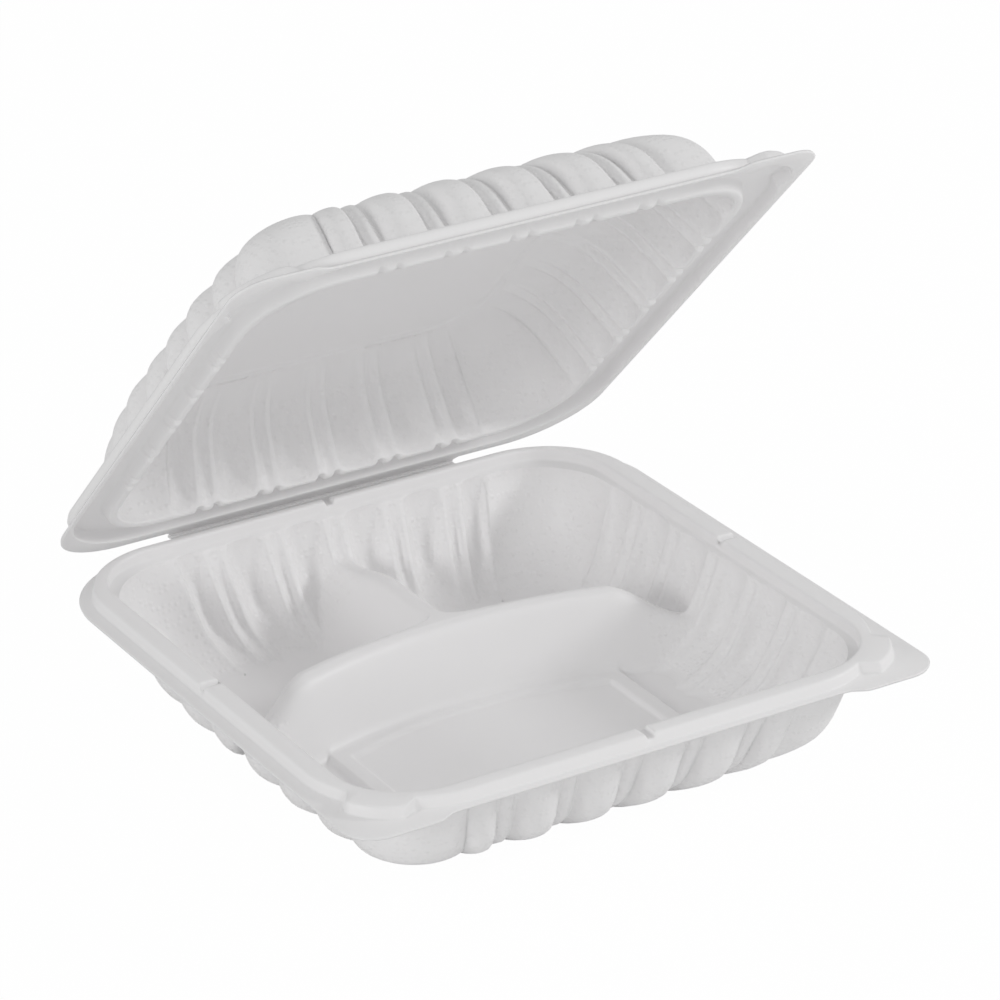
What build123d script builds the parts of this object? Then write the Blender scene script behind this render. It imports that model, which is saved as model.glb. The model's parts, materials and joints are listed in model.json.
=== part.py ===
from build123d import *
from math import radians, sqrt, tan
import os

os.makedirs("parts", exist_ok=True)

# A hinged food container, open as it stands on a table. X is along the hinge, +Y is towards it,
# the tray's middle is at x = 0, y = 0 and it stands on z = 0.

sheet = 0.8  # thickness of the moulded sheet
depth = 40.0  # from the table up to the tray's flange
dome = 35.9  # from the lid's flange to its top
openAngle = 44.1  # how far the lid stands open, in degrees
hingeY = 119.3  # the hinge line, back from the tray's middle
hingeHalf = 59.0  # half the length of the hinge
shiftY = -1.09  # puts the middle of the whole object over the origin
landGap = 1.2  # each half stops this far from the hinge line

flangeHalf = 112.5  # half the width over the flanges
frontY = 115.4  # front edge of the flange, forward of the middle
tabOut, tabWide, tabR = 3.2, 33.0, 12.5  # the corner tabs along the front edge
trayEdge = (flangeHalf, 111.3, 38.0)  # half width, back edge and its corners
lidEdge = (110.2, 116.2, 30.5)

pairStep = (24.5, 25.2)  # between pairs of grooves, along X and along Y
grooveOff = 3.3  # a groove to the middle of its pair
ribShare, grooveShare = 0.34, 0.62  # the low rib in a pair, and the grooves' roundness
crease = (64.0, 70.0)  # the single creases beside the corner lobes, along X and along Y

# The tray's hollow bead, as half width, front, back, and its corners at the front and back.
beadIn = (99.5, 105.6, 105.6, 27.0, 27.0)
beadOut = (107.2, 112.9, 109.9, 41.0, 35.0)
beadUp, beadDraft = 4.3, 10.0
lockR, lockWide = 24.0, 22.4  # the squarer blocks on the bead's front corners
notchWide, notchDeep = 3.6, 1.8  # across the bead in the middle of each side

# A wall's levels: height from the flange, half width between grooves, how far the pattern
# has closed in, and how far its lobes stand out.
trayWall = [(1.2, 97.7, 1.0, 1.5), (14, 92.6, 0.97, 5.8), (28, 85.6, 0.925, 7.6),
            (depth - sheet, 70.8, 0.83, 4.2)]
trayGrow = (0.8, 0.85, 0.95, 0.6)
lidWall = [(1.0, 91.7, 1.0, 1.4), (12, 87.4, 0.975, 6.8), (23.5, 83.0, 0.945, 9.0), (34.7, 66.3, 0.83, 3.8)]
lidGrow = (0.8, 0.85, 0.95, 0.6)

dividerTop = 30.0  # the dividers' tops, above the table
arcY, arcR = 22.9, 205.0  # the long divider's middle line
dividerHalf, dividerDraft, dividerR = 3.8, 14.0, 2.6
stemHalf, stemFoot = 3.2, 26.0  # the short divider, at its top and at the floor
platform = (59.0, 73.0, 11.0, 8.0)  # half width, front, back and corners
platformUp, panelDown = 2.0, 1.5
panel, panelArcR = (52.0, 66.0, 7.3, 6.0), 145.0

# The lid's rim, inwards from its flange: channel for the bead, then a thin ridge.
channelOut = (108.1, 113.8, 110.9, 42.0, 36.0)
channelIn = (98.6, 105.0, 105.0, 32.0, 32.0)
channelUp = 5.2
ridgeDraft, ridgeLow, ridgeWide = 36.0, 0.3, 1.4
plateau = (62.5, 68.7, 68.7, 22.0)
shoulder = 34.7


def waves(half, end, step, k, amp, grow):
    """Tangent arcs of one side as centre, radius and middle point, for y = half and x rising."""
    ribAmp = ribShare * amp
    grooveR = grooveShare * ((grooveOff * k) ** 2 + ribAmp**2) / (2 * ribAmp)
    small = (end - 2 * step - grooveOff) / 2
    marks = [(-end, 0, 0), (small - end, 0.8 * amp, small)]
    for n in range(-2, 3):
        if n > -2:
            marks.append(((n - 0.5) * step, amp, step / 2 - grooveOff))
        marks += [(n * step - grooveOff, 0, 0), (n * step, ribAmp, grooveOff)]
        marks.append((n * step + grooveOff, 0, 0))
    marks += [(end - small, 0.8 * amp, small), (end, 0, 0)]
    arcs = []
    for x, out, reach in marks:
        # a groove's arc bends outwards, and a lobe's touches the grooves on both sides of it
        r = ((reach * k) ** 2 + out**2) / (2 * out) - grooveR if out else -grooveR
        arcs.append(((x * k, half + out - r), r - grow, (x * k, half + out - grow)))
    return arcs, grooveR


def turned(p, n):
    return [p, (-p[1], p[0]), (-p[0], -p[1]), (p[1], -p[0])][n]


def lobed(z, gx, k, amp, grow=0.0):
    """The closed outline of lobes and grooves at height z, moved inwards by grow."""
    corner = gx - k * crease[0]
    ring = []
    for n in range(4):
        along = n % 2
        end = crease[along]
        half = corner + k * crease[1 - along]
        arcs, grooveR = waves(half, end, pairStep[along], k, amp, grow)
        arcs.reverse()
        e = (-1 / sqrt(2), 1 / sqrt(2))
        tip = (-end * k + (corner + amp) * e[0], half - corner + (corner + amp) * e[1])
        g = arcs[-1][0]
        d = (tip[0] - g[0], tip[1] - g[1])
        r = (d[0] ** 2 + d[1] ** 2 - grooveR**2) / (2 * (d[0] * e[0] + d[1] * e[1] + grooveR))
        arcs.append(((tip[0] - r * e[0], tip[1] - r * e[1]), r - grow,
                     (tip[0] - grow * e[0], tip[1] - grow * e[1])))
        ring += [(turned(c, n), r, turned(m, n)) for c, r, m in arcs]
    edges = []
    for n, (c, r, middle) in enumerate(ring):
        ends = []
        for (ac, ar, _), (bc, br, _) in ((ring[n - 1], ring[n]), (ring[n], ring[(n + 1) % len(ring)])):
            t = abs(ar) / (abs(ar) + abs(br))
            ends.append((ac[0] + (bc[0] - ac[0]) * t, ac[1] + (bc[1] - ac[1]) * t, z))
        edges.append(ThreePointArc(ends[0], (*middle, z), ends[1]))
    return Wire(edges)


def wall(levels, grow, z0, sign, last):
    """The wavy wall between its levels; the last level is moved by the sheet on an outer skin."""
    rings = []
    for n, ((z, gx, k, amp), g) in enumerate(zip(levels, grow)):
        height = z + (last if n == len(levels) - 1 else 0)
        rings.append(lobed(z0 + sign * height, gx, k, amp, -g))
    return Solid.make_loft(rings, ruled=True)


def box(x0, x1, y0, y1):
    return Pos((x0 + x1) / 2, (y0 + y1) / 2) * Rectangle(x1 - x0, y1 - y0)


def plan(half, front, back, frontR, backR=None, grow=0.0):
    """A rounded rectangle with its own corners at the front and at the back."""
    shape = box(-half - grow, half + grow, -front - grow, back + grow)
    shape = fillet([v for v in shape.vertices() if v.Y < 0], frontR + grow)
    return fillet([v for v in shape.vertices() if v.Y > 50 or (v.Y > 0 and abs(v.X) > half - 1)],
                  (backR or frontR) + grow)


def slab(shape, low, high, draft=0.0):
    return extrude(Pos(0, 0, low) * shape, high - low, taper=draft)


def lockPlan(half, front, r, wide, grow=0.0):
    """The corner of a squarer rim, between two lines at 45 degrees."""
    turn = Rot(0, 0, -45)
    ends = Rectangle(80, wide + 2 * grow)
    blocks = None
    for s in (-1, 1):
        strip = Pos(s * (half - r), -(front - r)) * Rot(0, 0, -45 * s) * Pos(40 * s, 0) * ends
        piece = plan(half, front, front, r, grow=grow) & strip
        blocks = piece if blocks is None else blocks + piece
    return blocks


def flange(half, back, backR):
    """The flange with its large corners at the hinge, the tabs at the front and the hinge land."""
    shape = box(-half, half, -frontY, back)
    for s in (-1, 1):
        a, b = s * (half - tabWide), s * half
        shape += box(min(a, b), max(a, b), -frontY - tabOut, -frontY + 5)
    shape = fillet([v for v in shape.vertices() if v.Y > 0], backR)
    shape = fillet([v for v in shape.vertices()
                    if v.Y < -frontY - 1 and abs(v.X) > half - 1], tabR)
    inner = [v for v in shape.vertices()
             if v.Y < -frontY + 1 and abs(v.X) < half - tabWide + 1]
    shape = fillet(inner, 1.45)
    return shape + box(-hingeHalf, hingeHalf, back - 5, hingeY - landGap)


def notches(wide, low, high):
    across = Box(2 * flangeHalf + 20, wide, high - low) + Box(wide, 2 * frontY + 20, high - low)
    return Pos(0, 0, (low + high) / 2) * across


def dividers(thin=0.0):
    """Both dividers as one solid; with thin it is what the sheet leaves hollow underneath."""
    z, low = dividerTop - thin, -2
    half = dividerHalf - thin
    foot = half + (z - low) * tan(radians(dividerDraft))
    section = Polyline((arcR - foot, low), (arcR - half, z), (arcR + half, z), (arcR + foot, low), (arcR - foot, low))
    section = make_face(Plane.XZ * section)
    section = fillet([v for v in section.vertices() if v.Z > 0], dividerR - thin)
    long = Pos(0, arcY - arcR) * revolve(section, Axis.Z)
    # the long divider's top falls towards the tray's sides
    top = Polyline((-130, -2), (-130, 21 - thin), (-88, 21 - thin), (-58, dividerTop - thin),
                   (58, dividerTop - thin), (88, 21 - thin), (130, 21 - thin), (130, -2), (-130, -2))
    top = make_face(Plane.XZ * top)
    long = long & extrude(top, 100, both=True)
    # the short one has wide hollow flanks and falls towards the back
    a, b, z = stemHalf - thin, stemFoot - thin, dividerTop - thin
    side = [Line((0, z), (a - 1.2, z)), ThreePointArc((a - 1.2, z), (a - 0.2, z - 0.5), (a + 0.4, z - 1.6)),
            ThreePointArc((a + 0.4, z - 1.6), ((a + b) / 2 - 3.4, z / 2 - 2), (b, 0)),
            Line((b, 0), (b, -2)), Line((b, -2), (0, -2)), Line((0, -2), (0, z))]
    half = Plane.XZ * make_face(side)
    stem = extrude(half, -118)
    stem = stem + mirror(stem, Plane.YZ)
    fall = make_face(Plane.YZ * Polyline((arcY, -3), (arcY, z), (66, z), (95, 24 - thin), (118, 24 - thin), (118, -3), (arcY, -3)))
    stem = stem & extrude(fall, 60, both=True)
    return long + stem


def floor(thin=0.0):
    """The raised platform with the sunk panel in it."""
    half, front, back, r = platform
    up = slab(plan(half, front, back, r, grow=-thin), -1, sheet + platformUp - thin)
    half, front, back, r = panel
    sunk = box(-half - thin, half + thin, -front - thin, back + thin)
    sunk &= Pos(0, back - panelArcR) * Circle(panelArcR + thin)
    sunk = fillet(sunk.vertices(), r + thin)
    return up - slab(sunk, sheet + platformUp - panelDown - thin, sheet + platformUp + 1)


def tray():
    rim = depth - trayWall[0][0]
    outer = wall(trayWall, trayGrow, depth, -1, sheet)
    outer += slab(plan(*beadIn, grow=sheet), rim - sheet, depth)
    outer += slab(flange(*trayEdge), depth - sheet, depth)
    bead = slab(plan(*beadOut), depth, depth + beadUp, beadDraft)
    half, front, _, _, _ = beadOut
    bead += slab(lockPlan(half, front, lockR, lockWide), depth, depth + beadUp, beadDraft)
    outer += bead
    hollow = slab(plan(*beadOut, grow=-sheet), depth - 3, depth + beadUp - sheet, beadDraft / 2)
    hollow += slab(lockPlan(half, front, lockR, lockWide, grow=-sheet), depth - 3, depth + beadUp - sheet,
                   beadDraft / 2)
    hollow -= slab(plan(*beadIn, grow=sheet), depth - 4, depth + beadUp)
    hollow -= notches(notchWide + 2 * sheet, depth + beadUp - notchDeep - sheet, depth + beadUp)
    cavity = wall(trayWall, (0, 0, 0, 0), depth, -1, 0)
    cavity += slab(plan(*beadIn), rim, depth + 8)
    cavity -= dividers() + floor()
    body = outer - cavity - hollow - notches(notchWide, depth + beadUp - notchDeep, depth + beadUp + 2)
    return body - dividers(sheet) - floor(sheet)


def lid():
    """The lid as it is when shut, with its flange on the tray's."""
    low = lidWall[0][0]
    half, front, _, _, _ = channelOut
    sockets = lambda g: lockPlan(half, front, lockR + 0.9, lockWide + 1.4, grow=g)
    outer = slab(flange(*lidEdge), 0, sheet)
    outer += slab(plan(*channelOut, grow=sheet), 0, channelUp + sheet)
    outer += slab(sockets(sheet), 0, channelUp + sheet)
    foot = (channelUp - ridgeLow) * tan(radians(ridgeDraft))
    valley = slab(plan(*channelIn, grow=-foot - 0.2), ridgeLow + sheet, channelUp + 2, -ridgeDraft)
    crown = wall(lidWall, lidGrow, 0, 1, sheet)
    inner = (channelIn[0] - foot - ridgeWide, channelIn[1] - foot - ridgeWide)
    band = (inner[0], inner[1], inner[1], 28.0)
    crown += slab(plan(*band, grow=sheet), ridgeLow, low + sheet)
    crown += slab(plan(*plateau, grow=sheet), shoulder, dome + sheet)
    outer = outer - valley + crown
    ridge = slab(plan(*channelIn, grow=-foot), ridgeLow, channelUp + 0.01, -ridgeDraft)
    channel = slab(plan(*channelOut), -1, channelUp) + slab(sockets(0), -1, channelUp)
    void = wall(lidWall, (0, 0, 0, 0), 0, 1, 0) + slab(plan(*band), -1, low)
    void += slab(plan(*plateau), shoulder - 0.01, dome)
    body = outer - (channel - ridge) - void
    return Pos(0, 0, depth) * body


hinge = Axis((0, hingeY, depth), (-1, 0, 0))
trayPart = tray()
print("tray", trayPart.is_valid, trayPart.volume, len(trayPart.solids()), flush=True)
lidPart = lid()
print("lid", lidPart.is_valid, lidPart.volume, len(lidPart.solids()), flush=True)
lidPart = lidPart.rotate(hinge, openAngle)
strip = 0.35
leaf = Pos(0, hingeY - landGap / 2, depth - strip / 2) * Box(2 * hingeHalf, landGap, strip)
upper = (Pos(0, hingeY - landGap / 2, depth + strip / 2) * Box(2 * hingeHalf, landGap, strip)).rotate(hinge, openAngle)
bend = Pos(0, hingeY, depth) * Rot(0, 90, 0) * Cylinder(strip, 2 * hingeHalf)
livingHinge = leaf + upper + bend
for name, shape in (("base_tray", trayPart), ("lid", lidPart), ("living_hinge", livingHinge)):
    export_step(Pos(0, shiftY) * shape, "parts/" + name + ".step")
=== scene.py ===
import json
import math
import bpy
import numpy as np
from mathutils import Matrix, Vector


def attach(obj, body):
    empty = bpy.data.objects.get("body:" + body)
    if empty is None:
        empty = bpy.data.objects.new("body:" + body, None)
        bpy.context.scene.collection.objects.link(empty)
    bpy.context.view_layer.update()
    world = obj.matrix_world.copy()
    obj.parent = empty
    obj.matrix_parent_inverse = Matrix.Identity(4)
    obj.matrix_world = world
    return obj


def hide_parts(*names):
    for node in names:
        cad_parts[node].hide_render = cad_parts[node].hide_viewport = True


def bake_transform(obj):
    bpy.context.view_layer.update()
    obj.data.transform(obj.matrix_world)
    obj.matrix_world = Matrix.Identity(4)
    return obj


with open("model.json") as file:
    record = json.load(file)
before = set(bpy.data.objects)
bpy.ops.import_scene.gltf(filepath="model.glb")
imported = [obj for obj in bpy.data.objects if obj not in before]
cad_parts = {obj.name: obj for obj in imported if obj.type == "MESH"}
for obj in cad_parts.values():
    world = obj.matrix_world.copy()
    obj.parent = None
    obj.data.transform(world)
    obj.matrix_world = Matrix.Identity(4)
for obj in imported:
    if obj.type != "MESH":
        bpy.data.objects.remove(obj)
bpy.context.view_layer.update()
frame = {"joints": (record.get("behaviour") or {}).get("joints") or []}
print("frame loaded")

# Everything is worked out in millimetres about the tray's middle, with the tray on z = 0,
# and is then written in metres and moved by shiftY to the frame's origin.
mm = 0.001
hingeY, rimZ = 119.3, frame["joints"][0]["pos_m"][2] * 1000
shiftY = frame["joints"][0]["pos_m"][1] * 1000 - hingeY
openAngle = math.radians(-frame["joints"][0]["range_deg"][0])
sheet = 0.8

# Grooves come in pairs along each side, with one crease beside each corner lobe. Step and end
# are how far apart the pairs are and where the crease is, along x and then along y.
pattern = {
    "step": (24.5, 25.2),
    "groove": 3.3,
    "valley": (1.7, 4.7),
    "end": (64.0, 70.0),
    "rib": 0.36,
    "ribFoot": 0.6,
    "last": 0.8,
    "side": 120,
    "corner": 36,
}
# Where samples are closer together: at each groove, and at the two edges of the notch.
closer = {"more": 2.0, "width": 2.0, "notch": 1.8, "notchMore": 3.0, "notchWidth": 0.4}


def sideSamples(axis):
    # places along one side, from -1 to 1: equal steps of a summed density, which is one plus
    # a bell at each groove and at each edge of the notch
    step, end = pattern["step"][axis], pattern["end"][axis]
    x = np.linspace(-end, end, 6001)
    density = np.ones_like(x)
    grooves = [n * step + s * pattern["groove"] for n in range(-2, 3) for s in (-1, 1)]
    grooves += [-end, end]
    for g in grooves:
        density += closer["more"] * np.exp(-((x - g) / closer["width"]) ** 2)
    for g in (-closer["notch"], closer["notch"]):
        density += closer["notchMore"] * np.exp(-((x - g) / closer["notchWidth"]) ** 2)
    total = np.concatenate([[0.0], np.cumsum((density[1:] + density[:-1]) / 2)])
    wanted = np.linspace(0, total[-1], pattern["side"] + 1)[:-1]
    return np.interp(wanted, total, x) / end


def bump(t, half, up):
    # a rounded hump: up times (1 less (t over half) to the power full), to the power foot
    full, foot = 2.4, 0.68
    return up * np.maximum(1 - np.abs(t / half) ** full, 0) ** foot


def sideWave(x, axis, amp):
    # how far the wall stands out along one side: the highest of its humps at each place, which
    # are lobes between the pairs of grooves and low ribs inside them
    step, end, (rib, groove) = pattern["step"][axis], pattern["end"][axis], pattern["valley"]
    height = np.zeros_like(x)
    humps = [((n + 0.5) * step, step / 2 - groove, amp) for n in range(-2, 2)]
    humps += [(n * step, rib + pattern["ribFoot"], amp * pattern["rib"]) for n in range(-2, 3)]
    small = (end - 2 * step - groove) / 2
    humps += [(s * (end - small), small, amp * pattern["last"]) for s in (-1, 1)]
    for middle, half, up in humps:
        height = np.maximum(height, bump(x - middle, half, up))
    # the valleys are rounded a little, and less where the lobes are still low
    soft = 0.3 * min(amp, 1.2)
    return np.sqrt(height**2 + soft**2) - soft


def cornerWave(angle, r, amp):
    # one arc from crease to crease whose top is amp beyond the corner's own radius: how far its
    # circle, with its middle c out on the diagonal, lies beyond r in that direction
    top = r + amp
    q = math.sqrt(2)
    own = (r * r + top * top - q * r * top) / (2 * top - q * r)
    c = top - own
    away = angle - math.pi / 4
    return c * np.cos(away) + np.sqrt(np.maximum(own**2 - (c * np.sin(away)) ** 2, 0)) - r


def cornerPath(w, halfA, halfB, r, startA, startB):
    # from (halfA, startB) round a corner of radius r to (startA, halfB), evenly along its length
    straightB, straightA = halfB - r - startB, halfA - r - startA
    arc = r * math.pi / 2
    s = w * (straightB + arc + straightA)
    a = np.clip((s - straightB) / r, 0, math.pi / 2)
    x = halfA - r + r * np.cos(a)
    y = startB + np.clip(s, 0, straightB) + r * np.sin(a)
    x = x - np.clip(s - straightB - arc, 0, None)
    return x, y, a


def outline(spec, wave=None):
    # spec: half width, front, back, corner radius at the front and at the back, closing in
    # four sides, each a straight line moved outwards by its wave and then its corner's arc,
    # turned by quarter turns; it starts at the right side's front end and runs round by the back
    half, front, back, frontR, backR, k = spec
    endX, endY = (e * k for e in pattern["end"])
    w = np.arange(pattern["corner"]) / pattern["corner"]
    points = []
    for n in range(4):
        axis = (n + 1) % 2
        t = sideSamples(axis)
        wide = half if axis == 1 else (back if n == 1 else front)
        out = np.zeros_like(t)
        if wave:
            out = sideWave(t * pattern["end"][axis], axis, wave[axis])
        along = t * (endY if axis == 1 else endX)
        r = backR if n in (0, 1) else frontR
        nextWide = (back, half, front, half)[n]
        starts = (endX, endY) if axis == 1 else (endY, endX)
        cx, cy, a = cornerPath(w, wide, nextWide, r, *starts)
        if wave:
            more = cornerWave(w * math.pi / 2, r, (wave[0] + wave[1]) / 2)
            cx, cy = cx + more * np.cos(a), cy + more * np.sin(a)
        x, y = np.concatenate([wide + out, cx]), np.concatenate([along, cy])
        turn = n * math.pi / 2
        c, s = round(math.cos(turn)), round(math.sin(turn))
        points.append(np.stack([x * c - y * s, x * s + y * c], 1))
    return np.concatenate(points)


def smooth(x):
    # from 0 to 1 with level ends: three x squared less two x cubed
    x = np.clip(x, 0, 1)
    return x * x * (3 - 2 * x)


def grown(spec, g):
    # the outline that far outside, not closed in
    return tuple(s + g for s in spec) + (1.0,)


lock = {"wide": 22.4, "r": 24.0, "edge": 1.1}


def withLocks(spec, grow):
    # the lock's blocks: between two lines at 45 degrees the front corners pass over from the
    # plain outline to a squarer one
    half, front, back, frontR, backR, k = spec
    plain = outline(spec)
    square = outline((half, front, back, lock["r"] + grow, backR, k))
    cornerX, cornerY = half - lock["r"], -(front - lock["r"])
    across = np.abs((np.abs(plain[:, 0]) - cornerX) + (plain[:, 1] - cornerY)) / math.sqrt(2)
    ahead = plain[:, 1] < 0
    near = smooth((lock["wide"] / 2 + grow - across) / lock["edge"] + 0.5) * ahead
    return plain + (square - plain) * near[:, None]


def spline(rows, count):
    # Catmull-Rom through the rows, spread evenly over their index
    rows = np.array(rows, float)
    t = np.linspace(0, len(rows) - 1, count)
    i = np.clip(t.astype(int), 0, len(rows) - 2)
    f = (t - i)[:, None]
    p = [rows[np.clip(i + d, 0, len(rows) - 1)] for d in (-1, 0, 1, 2)]
    return 0.5 * (2 * p[1] + (p[2] - p[0]) * f + (2 * p[0] - 5 * p[1] + 4 * p[2] - p[3]) * f**2
                  + (3 * p[1] - p[0] - 3 * p[2] + p[3]) * f**3)


# What both flanges share: front edge, corner tabs and the land at the hinge. The last two
# are the widths over which the edge runs out to the tabs and to the land.
flange = {
    "front": 115.4,
    "tab": 3.2,
    "tabIn": 79.5,
    "tabR": 12.5,
    "land": 118.1,
    "landHalf": 59.0,
    "tabEase": 8.0,
    "landEase": 0.6,
}


def flangeEdge(edge, inset=0.0):
    # large corners at the hinge, tabs further forward at the front corners, the land at the hinge
    ring = outline((edge["half"] - inset, edge["front"] + edge["tab"] - inset, edge["back"] - inset,
                    edge["tabR"], edge["backR"], 1.0))
    x, y = ring[:, 0], ring[:, 1]
    middle = smooth((edge["tabIn"] + 3.5 - np.abs(x)) / edge["tabEase"]) * (y < -100)
    y = y + edge["tab"] * middle
    land = smooth((edge["landHalf"] - np.abs(x)) / edge["landEase"] + 1) * (y > 100)
    y = y + (edge["land"] - edge["back"]) * land
    return np.stack([x, y], 1)


def lobedRing(gx, k, amp, sides=1.0):
    # half width between grooves, how far the pattern has closed in, how far the lobes stand out,
    # and how much further those of the left and right sides do
    corner = gx - k * pattern["end"][0]
    side = corner + k * pattern["end"][1]
    amp = max(amp, 0.02)
    return outline((gx, side, side, corner, corner, k), (amp, amp * sides))


def patch(ring, steps):
    # a square grid whose border is the ring: its opposite borders blended both ways, less the
    # blend of its corners, which passes over to the given places within this share of its width
    ease = 0.13
    m = pattern["side"] + pattern["corner"]
    start = pattern["side"] + pattern["corner"] // 2
    r = np.roll(ring, -start, axis=0)
    top, left = r[m::-1], r[2 * m:m - 1:-1]
    bottom, right = r[2 * m:3 * m + 1], np.append(r[3 * m:], r[:1], 0)
    u = np.linspace(0, 1, m + 1)[:, None, None]
    v = np.linspace(0, 1, m + 1)[None, :, None]
    grid = (1 - v) * bottom[:, None] + v * top[:, None] + (1 - u) * left[None] + u * right[None]
    grid -= ((1 - u) * (1 - v) * bottom[0] + u * (1 - v) * bottom[-1]
             + (1 - u) * v * top[0] + u * v * top[-1])
    border = np.minimum(np.minimum(u, 1 - u), np.minimum(v, 1 - v))
    aim = steps(grid[:, m // 2, 0], grid[m // 2, :, 1])
    grid = grid + (aim - grid) * smooth(border / ease)
    i, low, high = np.arange(m), np.zeros(m, int), np.full(m, m)
    sides = [(m - i, high), (low, m - i), (i, low), (high, i)]
    where = np.concatenate([np.stack(side, 1) for side in sides])
    return grid, np.roll(where, start, axis=0)


def shell(name, rings, steps, lift):
    # rings from the flange's edge inwards, then a square grid over the middle, or a flat face
    n = len(rings[0])
    verts = np.concatenate(rings)
    last = (len(rings) - 1) * n
    i = np.arange(n)
    quads = []
    for row in range(len(rings) - 1):
        a = row * n + i
        b = row * n + (i + 1) % n
        quads.append(np.stack([a, b, b + n, a + n], 1))
    if steps:
        grid, where = patch(rings[-1][:, :2], steps)
        m = grid.shape[0]
        gridId = (len(verts) + np.arange(m * m)).reshape(m, m)
        middle = np.column_stack([grid.reshape(-1, 2), np.full(m * m, rings[-1][0, 2])])
        verts = np.concatenate([verts, middle])
        gridId[where[:, 0], where[:, 1]] = last + np.arange(len(where))
        corners = [gridId[:-1, :-1], gridId[1:, :-1], gridId[1:, 1:], gridId[:-1, 1:]]
        quads.append(np.stack(corners, -1).reshape(-1, 4))
    quads = np.concatenate(quads)
    verts = lift(verts) + (0, shiftY, 0)
    used = np.unique(quads)
    place = np.full(len(verts), -1)
    place[used] = np.arange(len(used))
    faces = place[quads].tolist()
    if not steps:
        faces.append((last + i).tolist())
    mesh = bpy.data.meshes.new(name)
    mesh.from_pydata((verts[used] * mm).tolist(), [], faces)
    mesh.polygons.foreach_set("use_smooth", [True] * len(mesh.polygons))
    obj = bpy.data.objects.new(name, mesh)
    bpy.context.scene.collection.objects.link(obj)
    return obj, used


def inside(x, y, half, front, back, r, edge):
    # 1 within a rounded rectangle and 0 outside it, by the distance from its outline over an
    # edge of that width
    cy = (back - front) / 2
    qx, qy = np.abs(x) - (half - r), np.abs(y - cy) - ((back + front) / 2 - r)
    d = np.hypot(np.maximum(qx, 0), np.maximum(qy, 0)) + np.minimum(np.maximum(qx, qy), 0) - r
    return smooth(0.5 - d / edge)


def most(a, b, k):
    # the larger of two heights with a fillet of about k: half of their sum and the root of
    # their difference squared plus k squared
    return (a + b + np.sqrt((a - b) ** 2 + k * k)) / 2


divider = {
    "top": 30.0,
    "arcY": 22.9,
    "arcR": 205.0,
    "half": 4.2,
    "slope": 4.0,
    "round": 1.3,
    "fallFrom": 60.0,
    "fall": 14.0,
    "fallOver": 28.0,
    "stemHalf": 3.4,
    "stemFoot": 26.0,
    "stemRound": 1.6,
    "stemFall": 6.0,
    "stemFallFrom": 62.0,
    "stemFallOver": 34.0,
    "hollow": 1.85,
    "join": 7.0,
    "fillet": 2.2,
}


def dividerHeight(x, y):
    # the long divider: its top less slope times the distance beyond half its width from the arc
    # the short one: its top times (1 less the share of the way to its foot) to the power hollow
    d = divider
    off = np.abs(np.hypot(x, y - (d["arcY"] - d["arcR"])) - d["arcR"]) - d["half"]
    top = d["top"] - d["fall"] * smooth((np.abs(x) - d["fallFrom"]) / d["fallOver"])
    long = top - d["slope"] * (off + np.sqrt(off**2 + d["round"] ** 2)) / 2
    stemTop = d["top"] - d["stemFall"] * smooth((y - d["stemFallFrom"]) / d["stemFallOver"])
    beyond = np.abs(x) - d["stemHalf"]
    rounded = (beyond + np.sqrt(beyond**2 + d["stemRound"] ** 2)) / 2
    t = np.clip(rounded / (d["stemFoot"] - d["stemHalf"]), 0, 1)
    behind = y > d["arcY"] - 1 - x**2 / 2 / d["arcR"]
    stem = np.where(behind, stemTop * (1 - t) ** d["hollow"], -60.0)
    return np.minimum(most(long, stem, d["join"]), np.maximum(top, stemTop))


# Each box: half width, front, back, corner radius and the width of its edge. The panel is
# sunk into the platform, and its back edge is bowed, on an arc of radius bow.
platform = {"box": (59.0, 73.0, 13.0, 8.0, 2.0), "up": 2.0}
panel = {"box": (52.0, 66.0, 7.3, 6.0, 1.6), "down": 1.5, "bow": 145.0}
# The bead's notches in the middle of each side, cut down to that height.
notch = {"half": 1.95, "edge": 0.7, "from": 99.6, "top": 42.5}


def trayLift(v):
    # raises the platform and the dividers, sinks the panel and cuts the bead's notches
    x, y, z = v.T
    low = z < 36.0
    raised = inside(x, y, *platform["box"])
    back, edge = panel["box"][2], panel["box"][4]
    beyond = np.hypot(x, y - (back - panel["bow"])) - panel["bow"]
    sunk = inside(x, y, *panel["box"]) * smooth(0.5 - beyond / edge)
    z = z + np.where(z < 1.5, platform["up"] * raised - panel["down"] * sunk, 0)
    # the fillet fades out where the divider's surface runs 3 to 9 mm below the floor
    high = dividerHeight(x, y)
    fillet = divider["fillet"] * smooth((high - z + 9) / 6)
    z = np.where(low, most(z, high, fillet), z)
    near, far = np.minimum(np.abs(x), np.abs(y)), np.maximum(np.abs(x), np.abs(y))
    cut = smooth((notch["half"] - near) / notch["edge"]) * (far > notch["from"])
    z = np.where(z > 42.0, z - np.maximum(z - notch["top"], 0) * cut, z)
    return np.stack([x, y, z], 1)


def spread(values, marks):
    # as many places between the same ends, at equal steps of a summed density, which is one
    # plus a bell at each mark
    s = np.linspace(values[0], values[-1], 4001)
    density = np.ones_like(s)
    for mark, width, more in marks:
        density += more * np.exp(-((s - mark) / width) ** 2)
    total = np.cumsum(density)
    return np.interp(np.linspace(total[0], total[-1], len(values)), total, s)


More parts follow.
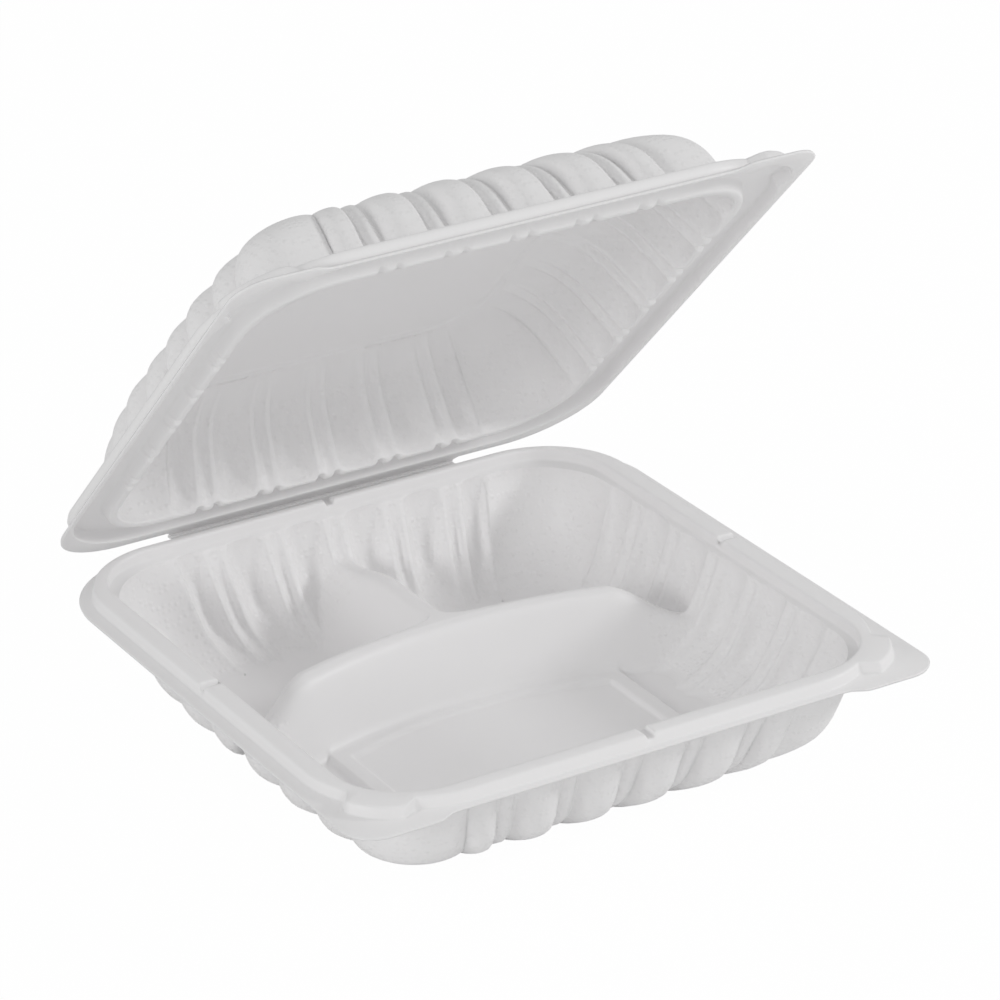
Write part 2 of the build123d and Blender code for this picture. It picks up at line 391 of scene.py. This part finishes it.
def traySteps(x, y):
    # the grid over the floor: closer rows at the divider's edges, bent along its arc by
    # x squared over twice its radius, and less towards the front and the back
    # each mark: its place, how wide the closer rows reach and how much closer they are
    xs = spread(x, [(-3.6, 2.0, 1.5), (3.6, 2.0, 1.5), (-59, 1.5, 1.5), (59, 1.5, 1.5),
                    (52, 1.5, 1), (-52, 1.5, 1)])
    ys = spread(y, [(17.5, 3.4, 3.0), (28.3, 3.4, 3.0), (-73, 1.5, 1.5), (-66, 1.5, 1.5),
                    (8, 3.0, 0.5)])
    gx, gy = np.meshgrid(xs, ys, indexing="ij")
    bend = -(gx**2) / (2 * divider["arcR"])
    share = smooth((gy + 70) / 75) * smooth((85 - gy) / 50)
    return np.stack([gx, gy + bend * share], -1)


def trayShell():
    # rings from the flange's edge over the bead and down the wall, then the grid over the floor
    # each outline: half width, front, back, corner radius at the front and at the back
    # each pair: how far the ring lies beyond its outline, and its height from the flange
    # each row of the wall: height, half width between grooves, closing in, lobes
    tray = {
        **flange,
        "half": 112.5,
        "back": 111.3,
        "backR": 38.0,
        "beadOut": (107.2, 112.9, 109.9, 41.0, 35.0),
        "outside": ((0.5, 0), (0.05, 0.15), (-0.12, 0.7), (-0.62, 3.35), (-0.85, 3.95),
                    (-1.6, 4.28)),
        "beadIn": (99.5, 105.6, 105.6, 27.0, 27.0),
        "inside": ((1.35, 4.28), (0.55, 4.15), (0.12, 3.75), (0, 3.0), (0, 0.8), (0, -0.6)),
        "rows": 25,
        "wall": [(-1.0, 97.9, 1.0, 1.3), (-2.2, 97.4, 0.998, 2.2), (-5, 96.4, 0.992, 3.6),
                 (-9, 94.8, 0.982, 4.8), (-14, 92.6, 0.97, 5.8), (-20, 89.8, 0.951, 6.8),
                 (-24, 87.8, 0.938, 7.3), (-28, 85.3, 0.925, 7.3), (-31, 82.6, 0.905, 6.7),
                 (-33.8, 79.4, 0.884, 5.8), (-36.3, 75.8, 0.862, 4.9),
                 (-38.3, 72.6, 0.842, 4.1), (-39.2, 69.6, 0.83, 3.6)],
    }
    rings = []

    def add(ring, z):
        rings.append(np.column_stack([ring, np.full(len(ring), rimZ + z)]))

    add(flangeEdge(tray), -0.25)
    add(flangeEdge(tray, 0.5), 0)
    for g, z in tray["outside"]:
        add(withLocks(grown(tray["beadOut"], g), g), z)
    for g, z in tray["inside"]:
        add(outline(grown(tray["beadIn"], g)), z)
    for z, gx, k, amp in spline(tray["wall"], tray["rows"]):
        add(lobedRing(gx, k, amp), z)
    return shell("base_tray", rings, traySteps, trayLift)


def ridgeNicks(ring, h, reach):
    # how far the lid's ridge is cut away where the grooves of each pair run out on it: a flat
    # bell at each groove, e to the power minus (off over half) to the fourth, less and less up
    # to the height reach
    nick = {"deep": 1.7, "half": 1.35, "from": (98.0, 91.0)}
    x, y = ring.T
    cut = np.zeros_like(x)
    for axis, (along, across) in enumerate(((x, y), (y, x))):
        for n in range(-2, 3):
            off = np.abs(along - n * pattern["step"][axis]) - pattern["groove"]
            cut += np.exp(-((off / nick["half"]) ** 4)) * (np.abs(across) > nick["from"][axis])
    return nick["deep"] * np.minimum(cut, 1) * max(0.0, 1 - h / reach)


def lidShell():
    # drawn shut and then turned open; like the tray, but heights go up from the flange, and each
    # row of the wall ends with how much further the lobes on the left and right stand out
    lid = {
        **flange,
        "half": 110.2,
        "back": 116.2,
        "backR": 30.5,
        "channelOut": (108.1, 113.8, 110.9, 42.0, 36.0),
        "outside": ((0.5, 0.05), (0.05, 0.17), (0, 0.7), (0, 4.4), (-0.3, 5.0), (-1.0, 5.2)),
        "lockRoom": 0.9,
        "channelIn": (98.6, 105.0, 105.0, 32.0, 32.0),
        "inside": ((-1.0, 5.2), (-1.7, 4.9), (-2.1, 4.4), (-3.2, 0.9), (-3.6, 0.38), (-4.3, 0.3)),
        "nickReach": (5, 1.6),
        "rows": 30,
        "wall": [(0.3, 92.9, 1.0, 0.3, 1), (0.9, 91.9, 0.999, 1.3, 1),
                 (2.5, 91.2, 0.996, 2.6, 1), (6, 89.9, 0.988, 4.6, 1),
                 (10, 88.2, 0.979, 6.2, 1), (15, 86.0, 0.967, 7.4, 1.05),
                 (20, 83.8, 0.953, 8.1, 1.12), (24.5, 80.9, 0.936, 8.2, 1.22),
                 (28, 77.8, 0.915, 7.6, 1.32), (31, 74.0, 0.888, 6.3, 1.4),
                 (33.2, 70.3, 0.862, 5.0, 1.35), (34.5, 66.8, 0.838, 3.4, 1.25),
                 (34.7, 65.0, 0.83, 1.5, 1.1)],
        "top": (62.5, 68.7, 68.7, 22.0, 22.0),
        "topRings": ((0.9, 34.72), (0.35, 34.85), (0.0, 35.1), (-0.25, 35.5), (-0.7, 35.8),
                     (-1.6, 35.9)),
        "topIn": 0.62,
    }
    rings = []

    def add(ring, h):
        rings.append(np.column_stack([ring, np.full(len(ring), h)]))

    add(flangeEdge(lid), 0.3)
    add(flangeEdge(lid, 0.5), 0.05)
    for g, h in lid["outside"]:
        add(withLocks(grown(lid["channelOut"], g), g + lid["lockRoom"]), h)
    for g, h in lid["inside"]:
        ring = outline(grown(lid["channelIn"], g))
        add(ring, h + ridgeNicks(ring, h, lid["nickReach"][0]))
    for h, gx, k, amp, sides in spline(lid["wall"], lid["rows"]):
        ring = lobedRing(gx, k, amp, sides)
        add(ring, h + ridgeNicks(ring, h, lid["nickReach"][1]))
    for g, h in lid["topRings"]:
        flat = tuple(s + g for s in lid["top"])
        add(outline(flat + (min(lid["topIn"], (flat[0] - flat[3]) / pattern["end"][0]),)), h)

    def turned(v):
        # shut, the lid's underside is at the rim; here it is open by that angle about the hinge
        x, y, h = v.T
        away = hingeY - y
        c, s = math.cos(openAngle), math.sin(openAngle)
        return np.stack([x, hingeY - away * c + h * s, rimZ + away * s + h * c], 1)

    return shell("lid", rings, None, turned)


class Value:
    # a socket in an expression: each operator adds its Math node
    def __init__(self, nodes, socket):
        self.nodes, self.socket = nodes, socket

    def math(self, operation, a, b):
        return self.nodes.value(0, "ShaderNodeMath", {0: a, 1: b}, operation=operation)

    def __sub__(self, other):
        return self.math("SUBTRACT", self, other)

    def __rsub__(self, other):
        return self.math("SUBTRACT", other, self)

    def __mul__(self, other):
        return self.math("MULTIPLY", self, other)

    def __rmul__(self, other):
        return self.math("MULTIPLY", other, self)

    def atLeast(self, other):
        return self.math("MAXIMUM", self, other)


class Nodes:
    # the nodes of one material or world
    def __init__(self, tree):
        self.tree = tree

    def add(self, kind, inputs=None, **settings):
        # a node of that kind, its inputs given by name or number as values or as sockets
        node = self.tree.nodes.new(kind)
        for key, value in settings.items():
            setattr(node, key, value)
        for key, value in (inputs or {}).items():
            if isinstance(value, Value):
                value = value.socket
            if isinstance(value, bpy.types.NodeSocket):
                self.tree.links.new(value, node.inputs[key])
            else:
                node.inputs[key].default_value = value
        return node

    def value(self, output, kind, inputs=None, **settings):
        # that output of a new node, to be used in expressions
        return Value(self, self.add(kind, inputs, **settings).outputs[output])


def plasticMaterial():
    look = {
        "color": (0.92, 0.914, 0.916, 1.0),
        "roughness": 0.42,
        "specular": 0.4,
        "cell": 430.0,
        "random": 0.35,
        "dot": 0.45,
        "deep": 0.0005,
    }
    material = bpy.data.materials.new("plastic")
    material.use_nodes = True
    tree = material.node_tree
    nodes = Nodes(tree)
    shader = tree.nodes["Principled BSDF"]
    shader.inputs["Base Color"].default_value = look["color"]
    shader.inputs["Roughness"].default_value = look["roughness"]
    shader.inputs["Specular IOR Level"].default_value = look["specular"]
    # small raised dots on the lobed walls only: each stands where the distance from the middle
    # of its cell is less than dot
    place = nodes.add("ShaderNodeTexCoord").outputs["Object"]
    cells = {"Vector": place, "Scale": look["cell"], "Randomness": look["random"]}
    distance = nodes.value("Distance", "ShaderNodeTexVoronoi", cells)
    mask = nodes.value("Fac", "ShaderNodeAttribute", attribute_name="emboss")
    height = (look["dot"] - distance).atLeast(0.0) * mask
    raised = nodes.add("ShaderNodeBump",
                       {"Height": height, "Distance": look["deep"], "Strength": 1.0})
    tree.links.new(raised.outputs[0], shader.inputs["Normal"])
    return material


def finishShell(made, offset, wallRows, material, body, node):
    # marks the rows that have the fine pattern and gives the surface the sheet's thickness
    obj, used = made
    ringSize = 4 * (pattern["side"] + pattern["corner"])
    row = used // ringSize
    first, last = wallRows
    emboss = ((row >= first) & (row <= last)).astype(np.float32)
    attribute = obj.data.attributes.new("emboss", "FLOAT", "POINT")
    attribute.data.foreach_set("value", emboss)
    thick = obj.modifiers.new("sheet", "SOLIDIFY")
    thick.thickness = sheet * mm
    thick.offset = offset
    obj.data.materials.append(material)
    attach(obj, body)
    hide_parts(node)


plastic = plasticMaterial()
finishShell(trayShell(), -1.0, (15, 36), plastic, "base", "base_tray")
print("tray made")
finishShell(lidShell(), 1.0, (14, 34), plastic, "lid", "lid")
print("lid made")


def hingeStrip():
    # the bent strip between the two lands: one section across the fold, carried along it
    strip = {"half": 59.0, "land": 1.2, "thick": 0.35, "turns": 7}
    c, s = math.cos(openAngle), math.sin(openAngle)
    foldY = hingeY + shiftY
    # round the outside of the fold, from straight below the hinge line to behind the lid
    turn = np.arange(strip["turns"]) / (strip["turns"] - 1)
    angle = -math.pi / 2 + turn * (math.pi - openAngle)
    inner, outer = np.zeros((2, strip["turns"] + 2, 2))
    outer[1:-1] = strip["thick"] * np.stack([np.cos(angle), np.sin(angle)], 1)
    inner[0], outer[0] = (-strip["land"], 0.0), (-strip["land"], -strip["thick"])
    inner[-1] = (-strip["land"] * c, strip["land"] * s)
    outer[-1] = inner[-1] + (strip["thick"] * s, strip["thick"] * c)
    section = np.concatenate([inner, outer[::-1]])
    count = len(section)
    verts = np.empty((2, count, 3))
    verts[:, :, 0] = [[-strip["half"]], [strip["half"]]]
    verts[:, :, 1:] = section + (foldY, rimZ)
    faces = [(i, (i + 1) % count, (i + 1) % count + count, i + count) for i in range(count)]
    half = count // 2
    for base in (0, count):
        for i in range(half - 1):
            quad = (i, i + 1, count - 2 - i, count - 1 - i)
            faces.append(tuple(base + q for q in (quad if base else quad[::-1])))
    mesh = bpy.data.meshes.new("living_hinge")
    mesh.from_pydata((verts.reshape(-1, 3) * mm).tolist(), [], faces)
    obj = bpy.data.objects.new("living_hinge_strip", mesh)
    bpy.context.scene.collection.objects.link(obj)
    obj.data.materials.append(plastic)
    low = Vector((0, (foldY - strip["land"]) * mm, rimZ * mm))
    high = Vector((0, (foldY - strip["land"] * c) * mm, (rimZ + strip["land"] * s) * mm))
    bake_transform(obj)
    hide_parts("living_hinge")


hingeStrip()
print("hinge made")


def whiteWorld():
    # the camera sees white, and the object is lit by a dimmer world
    light = {"seen": 1.0, "cast": 0.55}
    world = bpy.data.worlds.new("studio")
    bpy.context.scene.world = world
    world.use_nodes = True
    nodes = Nodes(world.node_tree)
    seen = nodes.value("Is Camera Ray", "ShaderNodeLightPath")
    plain = world.node_tree.nodes["Background"]
    plain.inputs["Color"].default_value = (1, 1, 1, 1)
    plain.inputs["Strength"].default_value = light["cast"]
    white = nodes.add("ShaderNodeBackground", {"Color": (1, 1, 1, 1), "Strength": light["seen"]})
    mix = nodes.add("ShaderNodeMixShader", {0: seen, 1: plain.outputs[0], 2: white.outputs[0]})
    surface = world.node_tree.nodes["World Output"].inputs["Surface"]
    world.node_tree.links.new(mix.outputs[0], surface)


def whiteFloor():
    # almost white to the camera, with a trace of the shadows
    look = {"half": 6.0, "color": (0.9, 0.9, 0.9, 1), "roughness": 0.9, "glow": 0.985}
    mesh = bpy.data.meshes.new("floor")
    f = look["half"]
    mesh.from_pydata([(-f, -f, 0), (f, -f, 0), (f, f, 0), (-f, f, 0)], [], [(0, 1, 2, 3)])
    floor = bpy.data.objects.new("floor", mesh)
    bpy.context.scene.collection.objects.link(floor)
    material = bpy.data.materials.new("floor")
    material.use_nodes = True
    nodes = Nodes(material.node_tree)
    shader = material.node_tree.nodes["Principled BSDF"]
    shader.inputs["Base Color"].default_value = look["color"]
    shader.inputs["Roughness"].default_value = look["roughness"]
    shader.inputs["Specular IOR Level"].default_value = 0.0
    seen = nodes.value("Is Camera Ray", "ShaderNodeLightPath")
    glow = nodes.add("ShaderNodeEmission", {"Color": (1, 1, 1, 1), "Strength": 1.0})
    share = seen * look["glow"]
    mix = nodes.add("ShaderNodeMixShader", {0: share, 1: shader.outputs[0], 2: glow.outputs[0]})
    surface = material.node_tree.nodes["Material Output"].inputs["Surface"]
    material.node_tree.links.new(mix.outputs[0], surface)
    floor.data.materials.append(material)


def areaLight(name, place, aim, size, power):
    data = bpy.data.lights.new(name, "AREA")
    data.shape = "SQUARE"
    data.size = size
    data.energy = power
    obj = bpy.data.objects.new(name, data)
    obj.location = place
    toAim = Vector(aim) - Vector(place)
    obj.rotation_euler = toAim.to_track_quat("-Z", "Y").to_euler()
    bpy.context.scene.collection.objects.link(obj)


whiteWorld()
whiteFloor()
# Each light: its place, what it aims at, the side of its square and its power.
lights = {
    "left": ((-1.5, -0.5, 0.6), (0, 0, 0.08), 0.4, 4.5),
    "right": ((1.4, -0.8, 0.8), (0, 0, 0.08), 0.3, 7.4),
    "low": ((-0.5, -1.6, 0.25), (0, 0, 0.12), 0.5, 1.2),
}
for lightName, values in lights.items():
    areaLight(lightName, *values)
print("studio made")


def photoCamera():
    # where the photo was taken from, fitted to the object's edges
    shot = {"place": (-0.6972, -1.2328, 0.7367), "turn": (65.256, 1.566, -30.601), "lens": 164.62}
    data = bpy.data.cameras.new("camera")
    data.sensor_width = 36.0
    data.lens = shot["lens"]
    data.clip_end = 50.0
    obj = bpy.data.objects.new("camera", data)
    obj.location = shot["place"]
    obj.rotation_euler = [math.radians(a) for a in shot["turn"]]
    bpy.context.scene.collection.objects.link(obj)
    bpy.context.scene.camera = obj


photoCamera()
scene = bpy.context.scene
scene.render.engine = "CYCLES"
scene.cycles.samples = 64
scene.cycles.use_denoising = True
scene.cycles.max_bounces = 8
scene.cycles.diffuse_bounces = 7
scene.render.resolution_x = 1000
scene.render.resolution_y = 1000
scene.view_settings.view_transform = "Standard"
bpy.context.view_layer.update()
